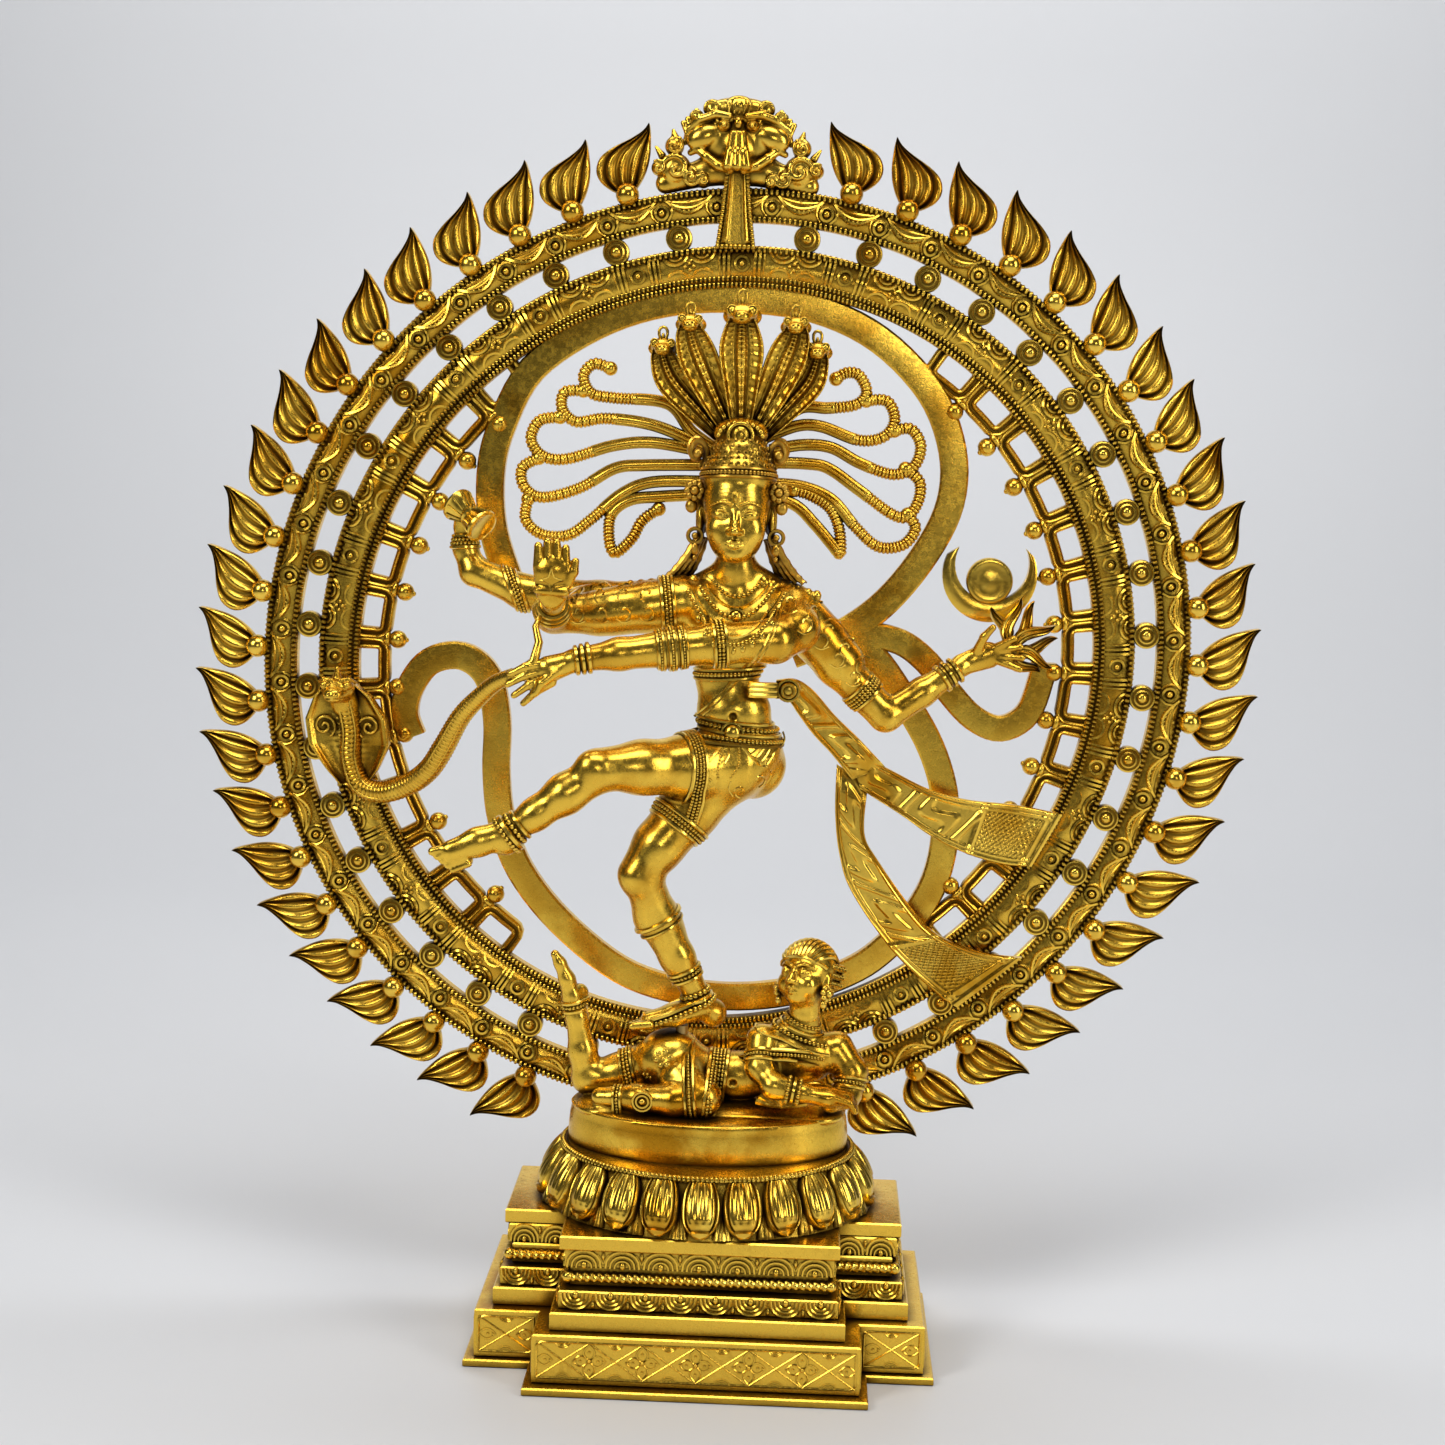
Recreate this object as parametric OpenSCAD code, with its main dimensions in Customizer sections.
// Brass nataraja statue: ringed halo, four-armed dancer, dwarf, oval plinth, lotus and stepped base.
// Millimetres. +Z is up, the front faces -Y, and the origin is under the middle of the base.

/* [Overall] */
// Height of the whole statue, to the top of the crest
statue_h = 610; // [600:1:620]

/* [Halo] */
// Height of the halo's centre above the floor
halo_z = 334; // [333:1:336]
// How far the halo's mid plane stands behind the middle of the base
halo_y = 48; // [47:0.5:50]
// Thickness of both bands
band_t = 8; // [6:0.5:9]
// Outer band, outer radius
outer_r = 232; // [231:0.5:232]
// Outer band, radial width
outer_w = 16.5; // [15:0.5:17]
// Inner band, outer radius
inner_r = 204.5; // [204:0.5:205]
// Inner band, radial width
inner_w = 20.5; // [19:0.5:21]
// Flames on each side
flame_count = 22; // [16:1:22]
// Angle from the crest to the first flame
flame_first = 13.4; // [13:0.1:14]
// Angle from one flame to the next
flame_pitch = 6.9; // [6.85:0.01:6.95]
// Length of a flame, from its root ball's centre to its tip
flame_len = 30; // [24:1:32]
// Root ball radius
ball_r = 5.6; // [4:0.1:5.8]
// Rosettes round the whole circle, with the tab in place of the topmost
rosette_count = 42; // [36:1:44]
// Openings in each key-pattern lattice
lattice_cells = 13; // [9:1:13]
// Width of the smooth curl inside the halo
curl_w = 14; // [10:0.5:15]
// Thickness of the smooth curl
curl_t = 7; // [5:0.5:8]

/* [Base] */
// Height of the lower tier
lower_h = 37; // [34:1:38]
// Height of the whole stepped base
base_h = 72; // [71:0.5:73]
// Half width of the base across the wings, at the floor
wing_x = 113; // [110:1:116]
// Half width of the middle block, at the floor
block_x = 81; // [79:1:84]
// Half depth of the middle block, at the floor
block_y = 84; // [82:1:86]
// Half depth of the wings, at the floor
wing_y = 54; // [50:1:56]
// Wall of the hollow castings
wall = 4; // [3:0.5:5]

/* [Lotus and plinth] */
// Half width of the lotus at its foot
lotus_x = 82; // [78:1:84]
// Depth of the lotus as a share of its width
lotus_oval = 0.8; // [0.78:0.01:0.82]
// Petals round the lotus
petal_count = 22; // [16:2:24]
// Height of the lotus top
lotus_top = 100; // [99:0.5:101]
// Half width of the oval plinth at its foot
plinth_x = 69; // [66:1:70]
// Depth of the plinth as a share of its width
plinth_oval = 0.59; // [0.55:0.01:0.6]
// Height of the plinth top
plinth_top = 119.5; // [118:0.5:120]

/* [Hidden] */

brass = "goldenrod";
dark_brass = "darkgoldenrod";
bright_brass = "gold";

flame_r = 236.4;          // radius on which the root balls sit
halo_bend = 0.0175;       // the cast ring is a little oval, longest from top right to bottom left
flame_turn = 0.7;         // both rows of flames are turned this far round the ring
lattice_turn = 2.1;       // and both lattices this far
rosette_gap = (outer_r - outer_w + inner_r) / 2;
rosette_r = (outer_r - outer_w - inner_r) / 2 + 0.3;
lattice_out = inner_r - inner_w + 0.4;
lattice_in = 169;
lattice_from = 38.7;
lattice_to = 139.7;
lattice_pitch = (lattice_to - lattice_from) / (lattice_cells - 1);
figure_y = -3;          // plane of the standing foot
front_limit = 36.5;     // nothing on the figure reaches further back than this
foot_x = 16;            // sideways place of the halo's two feet
foot_w = 10;
foot_deep = 10;         // how far a foot drops into the lotus
foot_gap = 0.4;
screw_r = 2;
head_r = 3.6;
stud_r = 3;
stud_x = -14;
limb_fn = 14;           // sides of the cast limbs

// ---------- curves ----------
function blend_point(a, b, c, d, t) = 0.5 * (2 * b + (c - a) * t + (2 * a - 5 * b + 4 * c - d) * t * t
    + (3 * b - a - 3 * c + d) * t * t * t);
function smooth(p, n) = concat([for (i = [0 : len(p) - 2]) for (k = [0 : n - 1])
    blend_point(p[max(i - 1, 0)], p[i], p[i + 1], p[min(i + 2, len(p) - 1)], k / n)], [p[len(p) - 1]]);
function unit(v) = v / norm(v);
function heading(p, i) = unit(p[min(i + 1, len(p) - 1)] - p[max(i - 1, 0)]);
function beside(p, i, d) = p[i] + d * [-heading(p, i)[1], heading(p, i)[0]];
function ribbon(p, w) = concat([for (i = [0 : len(p) - 1]) beside(p, i, w / 2)],
    [for (i = [len(p) - 1 : -1 : 0]) beside(p, i, -w / 2)]);
function around(r, a) = [r * sin(a), r * cos(a)];
function arc(r, a, b, n) = [for (i = [0 : n]) around(r, a + (b - a) * i / n)];

// Stands a flat outline upright, from its back face at y towards the front
module upright(y, t) {
    translate([0, y, 0]) rotate([90, 0, 0]) linear_extrude(t) children();
}

// A flat outline in the halo's mid plane, drawn about the halo's centre
module on_halo(t, shift = 0) {
    translate([0, 0, halo_z]) upright(halo_y + t / 2 + shift, t) children();
}

// Makes the ring's own parts slightly oval about its centre
module bent() {
    translate([0, 0, halo_z]) multmatrix([[1, 0, halo_bend, 0], [0, 1, 0, 0], [halo_bend, 0, 1, 0]])
        translate([0, 0, -halo_z]) children();
}

// A round hoop in the halo's mid plane with its edges eased
module hoop(r_in, r_out, t) {
    ease = 1.2;
    bent() translate([0, halo_y, halo_z]) rotate([90, 0, 0]) rotate_extrude($fn = 96)
        polygon([[r_in, -t / 2 + ease], [r_in + ease, -t / 2], [r_out - ease, -t / 2],
            [r_out, -t / 2 + ease], [r_out, t / 2 - ease], [r_out - ease, t / 2],
            [r_in + ease, t / 2], [r_in, t / 2 - ease]]);
}

// A chain of rounded lengths through points [x, y, z, radius]
module limb(p, fn = limb_fn) {
    for (i = [0 : len(p) - 2]) hull() {
        translate([p[i][0], p[i][1], p[i][2]]) sphere(p[i][3], $fn = fn);
        translate([p[i + 1][0], p[i + 1][1], p[i + 1][2]]) sphere(p[i + 1][3], $fn = fn);
    }
}

// One rounded lump through all of its points
module lump(p, fn = limb_fn) {
    hull() for (q = p) translate([q[0], q[1], q[2]]) sphere(q[3], $fn = fn);
}

module oval(r, k, n = 60) {
    polygon([for (i = [0 : n - 1]) [r * cos(360 * i / n), r * k * sin(360 * i / n)]]);
}

// An oval block that tapers from r0 at z0 to r1 at z1
module oval_taper(z0, r0, z1, r1, k) {
    skin = 0.1;
    hull() {
        translate([0, 0, z0]) linear_extrude(skin) oval(r0, k);
        translate([0, 0, z1 - skin]) linear_extrude(skin) oval(r1, k);
    }
}

module oval_turn(k) {
    scale([1, k, 1]) rotate_extrude($fn = 180) children();
}

// ---------- base ----------
module cross_plan(bx, by, wx, wy) {
    square([2 * bx, 2 * by], center = true);
    square([2 * wx, 2 * wy], center = true);
}

module cross_tier(z0, z1, bx, by, wx, wy) {
    translate([0, 0, z0]) linear_extrude(z1 - z0) cross_plan(bx, by, wx, wy);
}

module screw_places(x, y, z) {
    for (sx = [-1, 1], sy = [-1, 1]) translate([sx * x, sy * y, z]) children();
}

module base_lower() {
    color(brass) difference() {
        union() {
            cross_tier(0, 4, block_x, block_y, wing_x, wing_y);
            cross_tier(4, lower_h - 9, block_x - 4, block_y - 6, wing_x - 5, wing_y - 3.5);
            cross_tier(lower_h - 9, lower_h, block_x - 11.5, block_y - 11, wing_x - 13, wing_y - 9.5);
        }
        cross_tier(-1, lower_h - wall, block_x - 12 - wall, block_y - 12 - wall, wing_x - 14 - wall,
            wing_y - 10 - wall);
        cross_tier(lower_h - wall - 1, lower_h + 1, 44, 44, 70, 14);
        screw_places(48, 24, lower_h - wall - 1) cylinder(h = wall + 2, r = screw_r + 0.05, $fn = 32);
    }
}

module base_upper() {
    color(brass) difference() {
        union() {
            cross_tier(lower_h, lower_h + 9, 66, 68, 97, 41);
            cross_tier(lower_h + 9, lower_h + 19, 61, 61, 92, 35);
            cross_tier(lower_h + 19, base_h - 7, 63.5, 63.5, 94, 33);
            cross_tier(base_h - 7, base_h, 66, 66, 96, 32.5);
        }
        cross_tier(lower_h + wall, base_h - wall, 61 - wall, 61 - wall, 92 - wall, 33 - wall);
        cross_tier(lower_h - 1, lower_h + wall + 1, 44, 44, 70, 14);
        translate([0, 0, base_h - wall - 1]) cylinder(h = wall + 2, r = 32, $fn = 64);
        screw_places(48, 24, lower_h - 1) cylinder(h = wall + 2, r = screw_r + 0.05, $fn = 32);
        screw_places(36, 32, base_h - wall - 1) cylinder(h = wall + 2, r = screw_r + 0.05, $fn = 32);
    }
}

module base_ropes() {
    rope_r = 2.2;
    rope_z = lower_h + 14;
    bx = 62;
    by = 62;
    wx = 93;
    wy = 36;
    corners = [[-bx, -by], [bx, -by], [bx, -wy], [wx, -wy], [wx, wy], [bx, wy], [bx, by], [-bx, by],
        [-bx, wy], [-wx, wy], [-wx, -wy], [-bx, -wy]];
    color(bright_brass) translate([0, 0, rope_z]) difference() {
        linear_extrude(2 * rope_r, center = true) cross_plan(bx + 1.6, by + 1.6, wx + 1.6, wy + 1.6);
        linear_extrude(3 * rope_r, center = true) cross_plan(bx - 1.05, by - 1.05, wx - 1.05, wy - 1.05);
    }
    color(bright_brass) for (c = corners) translate([c[0], c[1], rope_z]) sphere(rope_r + 0.3, $fn = 24);
}

// A pan-headed screw that points up, its head's top face at z = 0
module screw(len) {
    cylinder(h = len, r = screw_r, $fn = 32);
    translate([0, 0, -2.4]) cylinder(h = 2.4, r = head_r, $fn = 32);
}

module base_screws() {
    color(dark_brass) screw_places(48, 24, lower_h - wall) screw(2 * wall);
}

module lotus_screws() {
    color(dark_brass) screw_places(36, 32, base_h - wall) screw(2 * wall - 0.5);
}

// ---------- lotus and plinth ----------
module lotus() {
    foot = 52;
    color(brass) difference() {
        oval_taper(base_h, lotus_x, lotus_top, lotus_x - 13, lotus_oval);
        oval_taper(base_h + wall, lotus_x - 9, lotus_top - wall, lotus_x - 21, lotus_oval);
        translate([0, 0, base_h - 1]) linear_extrude(wall + 2) oval(foot, lotus_oval);
        translate([stud_x, figure_y, lotus_top - wall - 1])
            cylinder(h = wall + 2, r = stud_r + 0.05, $fn = 32);
        for (s = [-1, 1]) translate([s * foot_x, halo_y, lotus_top])
            cube([foot_w + 2 * foot_gap, band_t + 2 * foot_gap, 2 * foot_deep + 4], center = true);
        for (sx = [-1, 1], sy = [-1, 1]) translate([sx * 36, sy * 32, base_h - 1])
            cylinder(h = wall + 2, r = screw_r + 0.05, $fn = 32);
    }
}

module lotus_petals() {
    color(bright_brass) for (i = [0 : petal_count - 1]) {
        a = (i + 0.5) * 360 / petal_count;
        x = (lotus_x - 4.5) * cos(a);
        y = (lotus_x - 4.5) * lotus_oval * sin(a);
        lean = atan2(lotus_oval * cos(a), sin(a));
        translate([x, y, base_h + 13.5]) rotate([0, 0, 90 - lean]) rotate([0, -14, 0])
            scale([0.36, 0.68, 1]) sphere(12.8, $fn = 40);
    }
}

module bead_rim() {
    bead = 2.1;
    color(bright_brass) translate([0, 0, lotus_top - 3.4]) linear_extrude(2 * bead) difference() {
        oval(lotus_x - 9.5, lotus_oval);
        oval(lotus_x - 12.6, lotus_oval);
    }
}

module plinth() {
    color(brass) difference() {
        oval_turn(plinth_oval) polygon([[plinth_x - 5, lotus_top], [plinth_x, lotus_top],
            [plinth_x + 0.3, lotus_top + 8], [plinth_x - 1.5, plinth_top - 2.5], [plinth_x - 4, plinth_top],
            [0, plinth_top], [0, plinth_top - wall], [plinth_x - 6, plinth_top - wall],
            [plinth_x - 4.6, lotus_top + 8]]);
        translate([stud_x, figure_y, plinth_top - wall - 1])
            cylinder(h = wall + 2, r = stud_r + 0.05, $fn = 32);
    }
}

// ---------- dwarf ----------
module dwarf_body() {
    color(brass) dwarf_form();
}

module dwarf_form() {
    difference() {
        union() {
            hull() for (x = [-50, 52]) translate([x, -9, plinth_top]) cylinder(h = 4, r = 15, $fn = 32);
            lump([[-19, -2, 140.5, 15.8], [-8, -3, 136, 12], [-30, 2, 134, 10]]);
            lump([[4, -3, 134, 11.5], [30, -6, 138, 13]]);
            lump([[24, -8, 148, 11], [48, -6, 144, 15], [62, -4, 143, 10]]);
            lump([[36, -8, 156, 9], [46, -8, 162, 8]]);
            limb([[-14, -10, 134, 12], [-2, -24, 128.5, 8.5], [-30, -22, 127.5, 6.5],
                [-52, -18, 126.5, 4.5]]);
        }
        translate([stud_x, figure_y, plinth_top - 1]) cylinder(h = 45, r = stud_r + 0.05, $fn = 32);
        translate([-100, -50, plinth_top - 20]) cube([200, 100, 20]);
    }
}

module dwarf_leg_form() {
    limb([[-36, 4, 134, 9.5], [-59, 2, 128.5, 8], [-62, 0, 140, 7], [-65, -1, 161, 5],
        [-68, -2, 172, 5.5], [-75, -3, 190, 3]]);
}

module dwarf_leg() {
    color(brass) difference() {
        dwarf_leg_form();
        dwarf_form();
    }
}

module dwarf_head_form() {
    {
        limb([[46, -9, 166, 7.5], [45.5, -10, 176, 7.5]]);
        lump([[46, -8, 188, 14], [44, -11, 179, 9.5], [50, -4, 186, 13]], 16);
    }
}

module dwarf_head() {
    color(brass) difference() {
        dwarf_head_form();
        dwarf_form();
    }
}

module dwarf_arms_form() {
    {
        limb([[25, -13, 156, 7.5], [26, -20, 144, 6.5], [46, -27, 135, 5], [55, -27, 133, 6.5]]);
        limb([[66, -8, 146, 8], [70, -12, 130, 6.5], [62, -22, 129, 5.5]]);
    }
}

module dwarf_arms() {
    color(brass) difference() {
        dwarf_arms_form();
        dwarf_form();
    }
}

module dwarf_fan_form() {
    lump([[28, -22, 126.5, 3.5], [44, -20, 127, 4], [36, -21, 131, 3.5]]);
}

module dwarf_fan() {
    color(brass) difference() {
        dwarf_fan_form();
        dwarf_form();
        dwarf_arms_form();
    }
}

// ---------- dancer ----------
module standing_leg_form() {
    {
        limb([[7, 0, 289, 21], [-8, -4, 268, 16.5], [-34, -14, 234, 10.5], [-25, -7, 212, 10.5],
            [-6, -2, 174, 6.5]], 18);
        limb([[-1, 0, 164.5, 6.5], [-22, -6, 162.5, 5.5], [-36, -9, 161.5, 3.8]]);
        lump([[-6, -2, 174, 6.5], [-1, 0, 164.5, 6.5], [-12, -4, 165, 6]]);
    }
}

module standing_leg() {
    color(brass) difference() {
        standing_leg_form();
        hips_form();
    }
}

module raised_leg_form() {
    {
        limb([[6, -4, 290, 18.5], [-13, -15, 289, 14.8], [-53, -35, 290, 10], [-71, -37, 279, 9.5],
            [-95, -41, 260, 6]], 18);
        limb([[-97, -41, 257, 6.8], [-112, -44, 253, 6], [-128, -47, 248.5, 4.5]]);
    }
}

module raised_leg() {
    color(brass) difference() {
        raised_leg_form();
        hips_form();
        standing_leg_form();
    }
}

module hips_form() {
    lump([[8, 0, 306, 19.5], [15, 2, 291, 19.5], [5, -1, 294, 20]], 20);
}

module hips() {
    color(brass) hips_form();
}

module torso_form() {
    {
        lump([[7, 0, 314, 18.5], [3, 0, 331, 15.5]], 20);
        lump([[3, 0, 331, 15.5], [-5, -2, 357, 14.5], [25, -2, 357, 14.5]], 20);
        lump([[-5, -2, 357, 14.5], [25, -2, 357, 14.5], [-10, 0, 366, 10.5], [27, 0, 366, 10.5]], 20);
        limb([[8, 0, 372, 10], [5.5, -3, 388, 8.2]]);
    }
}

module torso() {
    color(brass) difference() {
        torso_form();
        hips_form();
        standing_leg_form();
    }
}

module head_form() {
    {
        lump([[6, -4, 412, 16.5], [6, -8, 400, 12.5], [6, 0, 418, 16]], 16);
        limb([[-13, 0, 404, 4], [-15, 0, 388, 4]]);
        limb([[25, 0, 404, 4], [27, 0, 388, 4]]);
    }
}

module head() {
    color(brass) difference() {
        head_form();
        torso_form();
    }
}

module hair_crown_form() {
    {
        lump([[6, 1, 430, 17.5], [7, 2, 440, 11]]);
        lump([[-18, 6, 438, 8], [-22, 8, 446, 6]]);
        lump([[30, 6, 436, 8], [33, 8, 444, 6]]);
    }
}

module hair_crown() {
    color(dark_brass) difference() {
        hair_crown_form();
        head_form();
    }
}

module serpent_crown_form() {
    hoods = [[-31, 490], [-18, 503], [5.5, 508], [30, 503], [42, 489]];
    {
        upright(19, 9) polygon(smooth([[-1, 446], [-16, 456], [-33, 484], [-26, 497], [-18, 505],
            [-6, 502], [5.5, 510], [18, 502], [30, 505], [38, 496], [44, 484], [28, 456], [14, 446]], 4));
        for (h = hoods) translate([h[0], 9, h[1]]) sphere(6, $fn = 24);
        translate([6.5, 13, 444]) cylinder(h = 8, r = 8, $fn = 24);
    }
}

module serpent_crown() {
    color(brass) serpent_crown_form();
}

left_locks = [
    [[-6, 440], [-18, 448], [-30, 461], [-56, 463], [-67, 465], [-71, 473], [-66, 479], [-58, 477]],
    [[-10, 440], [-35, 450], [-59, 453], [-74, 451], [-81, 457], [-80, 465], [-71, 466]],
    [[-10, 438], [-36, 442], [-56, 440], [-78, 433], [-90, 434], [-96, 442], [-92, 451], [-82, 453]],
    [[-10, 432], [-40, 431], [-55, 429], [-72, 419], [-90, 414], [-99, 419], [-100, 428], [-92, 433]],
    [[-8, 424], [-36, 423], [-51, 417], [-66, 404], [-77, 396], [-90, 396], [-98, 403], [-97, 413]],
    [[-8, 418], [-33, 416], [-47, 414], [-56, 407], [-57, 395], [-54, 388], [-46, 395], [-41, 404], [-33, 410]]];
right_locks = [
    [[16, 444], [33, 460], [48, 461], [61, 463], [66, 469], [62, 477], [56, 478], [51, 475]],
    [[18, 446], [33, 452], [45, 452], [63, 446], [75, 448], [80, 456], [76, 465], [66, 465]],
    [[20, 440], [36, 443], [50, 442], [64, 435], [80, 430], [90, 434], [93, 444], [88, 452], [80, 451]],
    [[20, 434], [38, 434], [49, 432], [64, 422], [80, 411], [88, 410], [93, 418], [93, 427], [86, 433]],
    [[18, 424], [36, 423], [51, 417], [63, 404], [74, 395], [86, 396], [92, 404], [88, 411]],
    [[18, 418], [33, 414], [43, 405], [52, 395], [56, 391], [55, 403], [50, 413], [40, 419], [32, 421]]];

module locks(paths) {
    lock_w = 5;
    lock_t = 5;
    upright(24.5, lock_t) offset(delta = 0.05) union() {
        for (p = paths) polygon(ribbon(smooth(p, 3), lock_w));
    }
}

module hair_left_form() {
    {
        locks(left_locks);
        translate([-12, 0, 432]) upright(24, 12) square([16, 30], center = true);
    }
}

module hair_left() {
    color(brass) hair_left_form();
}

module hair_right_form() {
    {
        locks(right_locks);
        translate([24, 0, 432]) upright(24, 12) square([16, 30], center = true);
    }
}

module hair_right() {
    color(brass) hair_right_form();
}

module blessing_arm_form() {
    {
        limb([[-8, -4, 364, 12], [-80, -10, 360, 9.5], [-78, -37, 367, 6.5]], 16);
        lump([[-84, -43, 371, 3.6], [-71, -43, 371, 3.6], [-85, -43, 383, 3.4], [-70, -43, 383, 3.4]]);
        lump([[-84, -43, 383, 3], [-71, -43, 383, 3], [-80, -43, 396, 2.6], [-74, -43, 396, 2.6]]);
    }
}

module blessing_arm() {
    color(brass) difference() {
        blessing_arm_form();
        torso_form();
    }
}

module crossing_arm_form() {
    {
        limb([[30, -4, 363, 12.5], [27, -24, 353, 10.5], [-20, -35, 348, 9], [-66, -42, 342, 5.8]], 16);
        lump([[-72, -43, 341, 6], [-82, -44, 335, 5.5], [-93, -44, 325, 3]]);
    }
}

module crossing_arm() {
    color(brass) difference() {
        crossing_arm_form();
        torso_form();
    }
}

module drum_arm_form() {
    limb([[-6, 8, 366, 11], [-92, 15, 366, 9], [-124, 21, 378, 6.5], [-128, 23, 398, 6.5],
        [-126, 22, 405, 6.5]]);
}

module drum_arm() {
    color(brass) difference() {
        drum_arm_form();
        torso_form();
        blessing_arm_form();
        hand_drum_form();
    }
}

module fire_arm_form() {
    limb([[30, 5, 364, 12], [81, 10, 313, 8], [116, 19, 338, 5.8], [134, 23, 343, 7]]);
}

module fire_arm() {
    color(brass) difference() {
        fire_arm_form();
        torso_form();
        crossing_arm_form();
    }
}

module hand_drum_form() {
    translate([-127, 14, 404]) rotate([0, 120, 0]) {
        cylinder(h = 12, r1 = 4, r2 = 8, $fn = 32);
        translate([0, 0, -12]) cylinder(h = 12, r1 = 8, r2 = 4, $fn = 32);
    }
}

module hand_drum() {
    color(bright_brass) hand_drum_form();
}

module hand_fire_form() {
    upright(35, 10) polygon([[134, 342], [136, 356], [141, 368], [146, 358],
        [153, 366], [155, 356], [162, 355], [158, 346], [163, 338], [154, 338], [156, 328], [146, 334]]);
}

module hand_fire() {
    color(bright_brass) hand_fire_form();
}

// ---------- cobra ----------
cobra_route = [[-95, -44, 334], [-104, -32, 329], [-113, -20, 321], [-124, -9, 309], [-134, 1, 292],
    [-142, 8, 280], [-153, 17, 271], [-168, 25, 265], [-180, 29, 268], [-185, 30, 281], [-185, 30, 296],
    [-188, 28, 312]];
cobra_sides = 10;

function ring_points(p, i, r) =
    let (t = heading(p, i), u = unit(cross(t, [0, 1, 0])), v = cross(t, u))
    [for (k = [0 : cobra_sides - 1]) p[i] + r * (cos(360 * k / cobra_sides) * u + sin(360 * k / cobra_sides) * v)];
function cobra_r(s) = 3.6 + 2 * min(1, 2.5 * s) - 0.8 * max(0, s - 0.8) / 0.2;

module cobra_form() {
    line = smooth(cobra_route, 3);
    last = len(line) - 1;
    n = cobra_sides;
    points = [for (i = [0 : last]) each ring_points(line, i, cobra_r(i / last))];
    sides = [for (i = [0 : last - 1]) for (k = [0 : n - 1])
        [i * n + k, i * n + (k + 1) % n, (i + 1) * n + (k + 1) % n, (i + 1) * n + k]];
    ends = [[for (k = [n - 1 : -1 : 0]) k], [for (k = [0 : n - 1]) last * n + k]];
    polyhedron(points, concat(sides, ends));
}

module cobra() {
    color(brass) cobra_form();
}

module cobra_hood_form() {
    {
        upright(35.5, 5) polygon(smooth([[-190, 317], [-202, 309], [-207, 296], [-203, 280], [-190, 268],
            [-176, 268], [-166, 282], [-166, 298], [-175, 309], [-190, 317]], 4));
        lump([[-190, 26, 317, 6], [-193, 20, 309, 4]]);
    }
}

module cobra_hood() {
    color(brass) cobra_hood_form();
}

// ---------- scarf ----------
module shawl_form() {
    {
        lump([[33, 4, 366, 13.5], [56, 7, 342, 12.5]], 16);
        lump([[-16, -4, 365, 13.2], [-48, -7, 362, 12]], 16);
    }
}

module shawl() {
    color(bright_brass) difference() {
        shawl_form();
        torso_form();
        blessing_arm_form();
        crossing_arm_form();
        drum_arm_form();
        fire_arm_form();
    }
}

module sash_strap_form() {
    {
        lump([[20, -12, 327, 4], [36, 2, 327, 5.5], [30, -6, 327, 5.5]]);
        lump([[36, 4, 325, 4.5], [52, 18, 303, 5], [60, 20, 309, 4]]);
        lump([[52, 18, 303, 5], [60, 20, 309, 4], [66, 29, 280, 4.5], [80, 29, 288, 4.5]]);
    }
}

module sash_strap() {
    color(bright_brass) sash_strap_form();
}

module sash_upper_form() {
    upright(front_limit, 5) polygon(smooth([[66, 290], [85, 282], [105, 273],
        [124, 269], [171, 264], [164, 248], [156, 237], [146, 237], [126, 242], [107, 250], [92, 260],
        [72, 272]], 3));
}

module sash_upper() {
    color(bright_brass) sash_upper_form();
}

module sash_lower_form() {
    upright(front_limit, 5) polygon(smooth([[58, 285], [58, 262], [61, 240],
        [68, 221], [89, 192], [112, 170], [122, 163], [139, 171], [154, 190], [136, 191], [115, 198],
        [101, 210], [80, 238], [73, 252], [75, 272]], 3));
}

module sash_lower() {
    color(bright_brass) sash_lower_form();
}

// ---------- figure fixing ----------
module figure_stud() {
    color(dark_brass) translate([stud_x, figure_y, lotus_top - wall - 9])
        cylinder(h = 72, r = stud_r, $fn = 32);
}

module figure_nut() {
    color(dark_brass) translate([stud_x, figure_y, lotus_top - wall - 6]) difference() {
        cylinder(h = 6, r = 8, $fn = 6);
        translate([0, 0, -1]) cylinder(h = 8, r = stud_r + 0.05, $fn = 32);
    }
}

// ---------- halo ----------
module outer_band() {
    color(brass) hoop(outer_r - outer_w, outer_r, band_t);
}

module inner_band() {
    color(brass) hoop(inner_r - inner_w, inner_r, band_t);
}

module rosettes() {
    color(bright_brass) bent() for (i = [1 : rosette_count - 1])
        translate([0, 0, halo_z]) rotate([0, i * 360 / rosette_count, 0])
            translate([0, halo_y + 3, rosette_gap]) rotate([90, 0, 0])
                cylinder(h = 7.5, r = rosette_r, $fn = 40);
}

module halo_tab() {
    color(brass) upright(halo_y - band_t / 2, 5)
        polygon([[-4.5, 574], [4.5, 574], [9.5, 536], [-9.5, 536]]);
}

module crest() {
    top = statue_h;
    color(bright_brass) difference() {
        union() {
            lump([[-14, 46, top - 16, 7], [14, 46, top - 16, 7], [-9, 44, top - 9, 8], [9, 44, top - 9, 8],
                [0, 45, top - 7, 7]], 16);
            lump([[0, 42, top - 24, 12], [-9, 42, top - 33, 7], [9, 42, top - 33, 7]], 20);
            lump([[-14, 47, top - 20, 6], [-25, 48, top - 28, 6], [-14, 46, top - 34, 6]]);
            lump([[14, 47, top - 20, 6], [25, 48, top - 28, 6], [14, 46, top - 34, 6]]);
        }
        outer_band();
        halo_tab();
    }
}

module crest_scrolls() {
    color(bright_brass) difference() {
        for (s = [-1, 1]) {
            lump([[s * 17, 46, 571, 6.5], [s * 31.5, 47, 576, 6.5], [s * 33.5, 47, 583, 5]]);
            lump([[s * 20, 46, 566, 5.5], [s * 33, 47, 565, 5.5]]);
        }
        outer_band();
        crest();
    }
}

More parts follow.
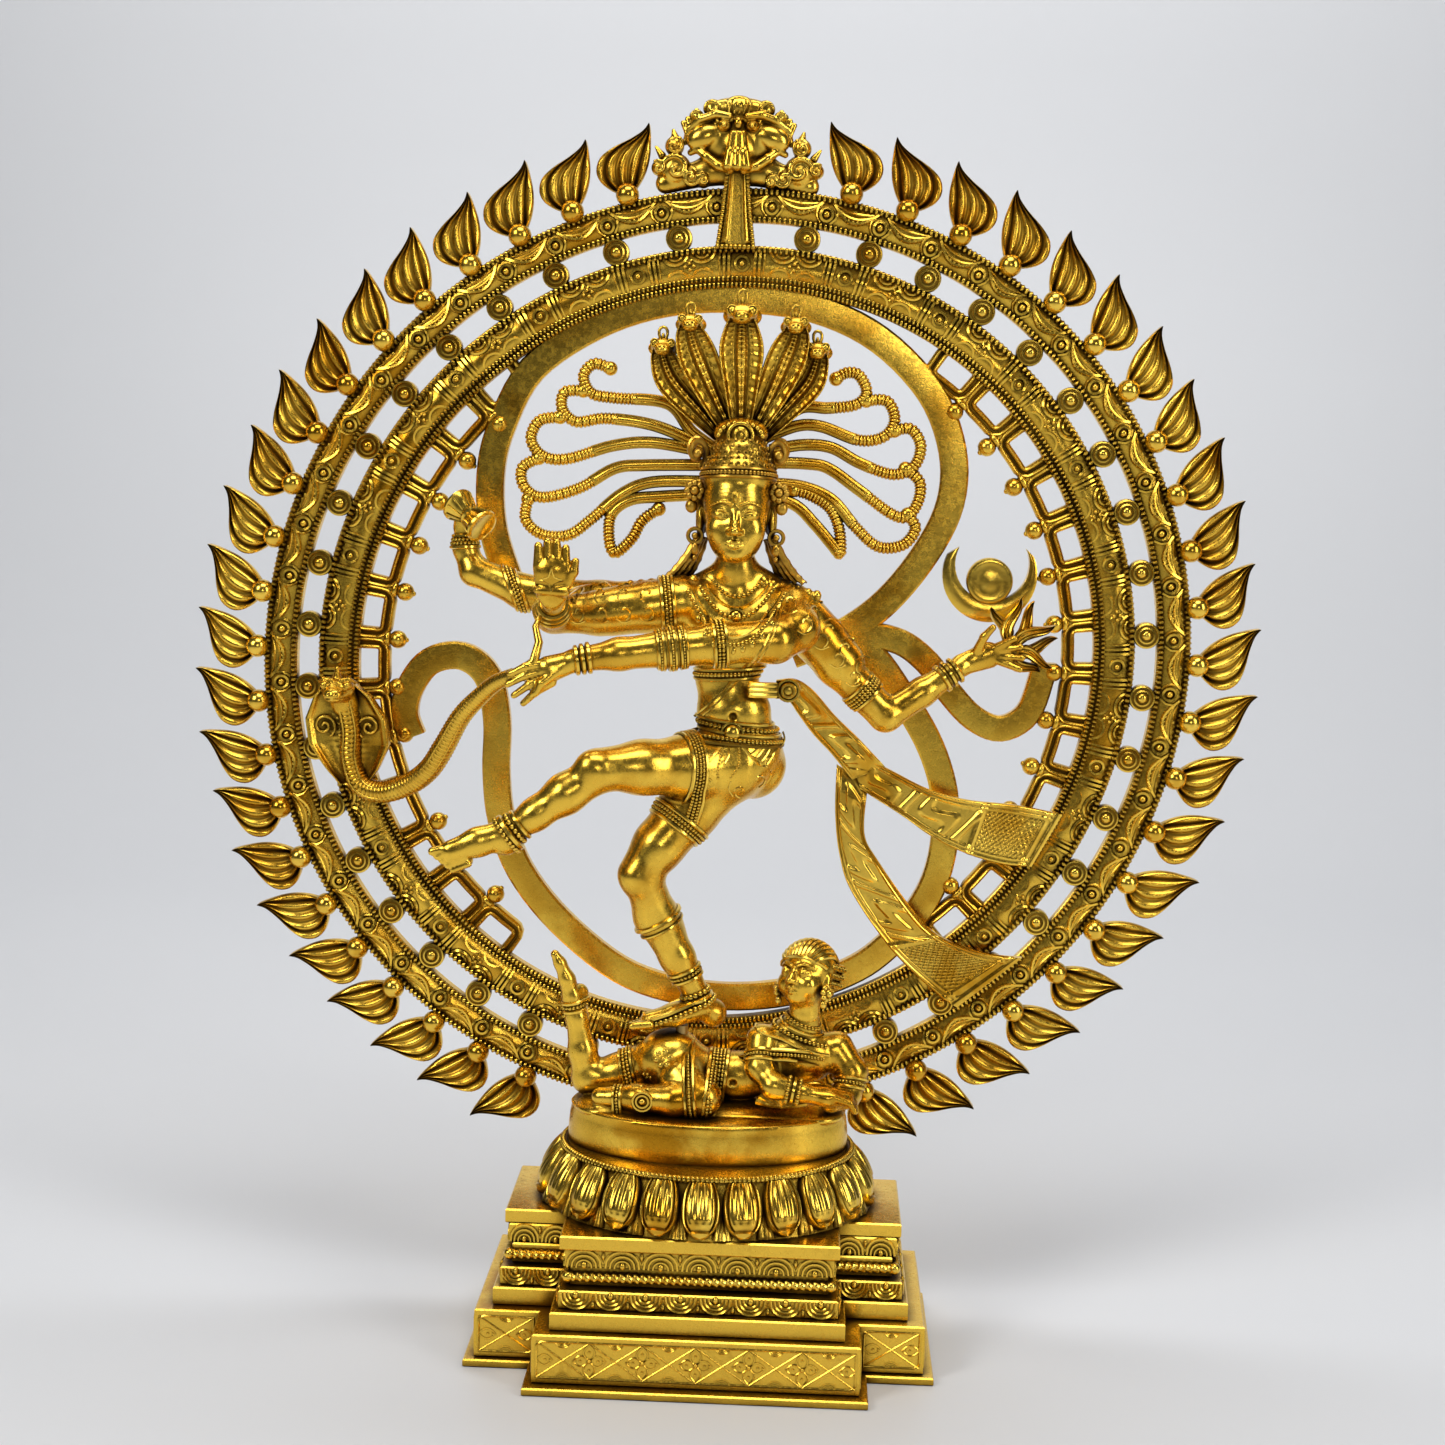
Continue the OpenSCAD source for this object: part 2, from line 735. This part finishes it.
// A flame seen flat: u runs towards the crest and v outwards from the root ball
flame_outline = [[-3, -5.7], [-4, -1], [-8, 3], [-12.5, 9], [-12.8, 15], [-8.5, 21], [-2, 24], [8, 25.5],
    [16, 27.5], [19.5, 30], [19, 24], [17.5, 18], [14.5, 12], [10.5, 6], [5, -0.5], [3, -5.7]];

module flame(side, a) {
    k = flame_len / 30;
    shape = [for (p = smooth(concat(flame_outline, [flame_outline[0]]), 2))
        [-side * p[0], flame_r + k * p[1]]];
    translate([0, 0, halo_z]) rotate([0, side * a, 0]) upright(halo_y + 2.5, 6) polygon(shape);
}

// Angle from the crest to one of the flames on a side
function flame_angle(side, i) = flame_first + i * flame_pitch + side * (i / 10 - flame_turn);

module flames(side) {
    color(brass) bent() for (i = [0 : flame_count - 1]) flame(side, flame_angle(side, i));
}

module flames_left() { flames(-1); }
module flames_right() { flames(1); }

module root_balls() {
    color(bright_brass) bent() for (s = [-1, 1], i = [0 : flame_count - 1])
        translate([0, 0, halo_z]) rotate([0, s * flame_angle(s, i), 0])
            translate([0, halo_y - 2, flame_r]) sphere(ball_r, $fn = 32);
}

module sector(r0, r1, a, b, n) {
    polygon(concat(arc(r0, a, b, n), arc(r1, b, a, n)));
}

module lattice_plan() {
    half = lattice_pitch / 2;
    sill = 2.4;
    post = 1.15;
    difference() {
        sector(lattice_in, lattice_out, lattice_from - half, lattice_to + half, 52);
        for (i = [0 : lattice_cells - 1]) {
            a = lattice_from + i * lattice_pitch;
            sector(lattice_in + sill, lattice_out - sill, a - half + post, a + half - post, 4);
        }
    }
}

module lattice(side) {
    bead_r = 4.6;
    color(brass) bent() {
        mirror([side < 0 ? 1 : 0, 0, 0]) on_halo(6) rotate(side * lattice_turn) lattice_plan();
        for (i = [0 : lattice_cells - 2]) translate([0, halo_y - 1, halo_z])
            rotate([0, side * (lattice_from + (i + 0.5) * lattice_pitch) - lattice_turn, 0])
                translate([0, 0, lattice_in - bead_r + 0.8]) sphere(bead_r, $fn = 24);
    }
}

module lattice_left() { lattice(-1); }
module lattice_right() { lattice(1); }

upper_loop = [[-107, 366], [-117, 395], [-119, 423], [-114, 447], [-99, 476], [-68, 498], [-34, 510],
    [3, 513], [40, 509], [72, 495], [98, 470], [110, 442], [110, 416], [99, 391], [80, 366], [58, 349],
    [34, 338]];
lower_loop = [[60, 346], [75, 338], [91, 317], [105, 294], [113, 270], [114, 246], [110, 225], [101, 207],
    [89, 192], [72, 178], [44, 166], [13, 161], [-18, 163], [-49, 173], [-80, 197], [-101, 223],
    [-111, 249], [-114, 274], [-114, 300], [-119, 322], [-132, 332], [-148, 329], [-158, 316],
    [-161, 302], [-157, 290]];
tail_loop = [[52, 346], [70, 349], [88, 346], [102, 336], [113, 322], [126, 309], [140, 304], [153, 312],
    [159, 330], [160, 338]];

module curl() {
    color(brass) upright(halo_y + curl_t / 2, curl_t) intersection() {
        translate([0, halo_z]) multmatrix([[1, halo_bend, 0, 0], [halo_bend, 1, 0, 0]])
            circle(inner_r - inner_w, $fn = 180);
        union() {
            polygon(ribbon(smooth(upper_loop, 4), curl_w));
            polygon(ribbon(smooth(lower_loop, 4), curl_w));
            polygon(ribbon(smooth(tail_loop, 4), curl_w - 1));
        }
    }
}

module moon() {
    color(bright_brass) {
        translate([131, halo_y + 3, 380]) rotate([90, 0, 0]) linear_extrude(6) difference() {
            circle(23.5, $fn = 64);
            translate([1, 6.5]) circle(19, $fn = 64);
            translate([-30, 13]) square([60, 30]);
        }
        translate([131, halo_y + 2, 378]) rotate([90, 0, 0]) cylinder(h = 6, r = 11.5, $fn = 48);
    }
}

module halo_feet() {
    color(brass) difference() {
        halo_feet_form();
        outer_band();
    }
}

module halo_feet_form() {
    foot_top = halo_z - outer_r + 8;
    for (s = [-1, 1]) {
        translate([s * foot_x - foot_w / 2, halo_y - band_t / 2, lotus_top - foot_deep])
            cube([foot_w, band_t, foot_top - lotus_top + foot_deep]);
        translate([s * foot_x - foot_w / 2 - 3, halo_y - band_t / 2, lotus_top + foot_gap])
            cube([foot_w + 6, band_t, foot_top - lotus_top - foot_gap]);
    }
}

base_lower();
base_upper();
base_ropes();
base_screws();
lotus();
lotus_petals();
lotus_screws();
bead_rim();
plinth();
dwarf_body();
dwarf_head();
dwarf_arms();
dwarf_leg();
dwarf_fan();
standing_leg();
raised_leg();
hips();
torso();
head();
hair_crown();
serpent_crown();
hair_left();
hair_right();
blessing_arm();
crossing_arm();
drum_arm();
fire_arm();
hand_drum();
hand_fire();
cobra();
cobra_hood();
shawl();
sash_strap();
sash_upper();
sash_lower();
figure_stud();
figure_nut();
outer_band();
inner_band();
rosettes();
halo_tab();
crest();
crest_scrolls();
flames_left();
flames_right();
root_balls();
lattice_left();
lattice_right();
curl();
moon();
halo_feet();
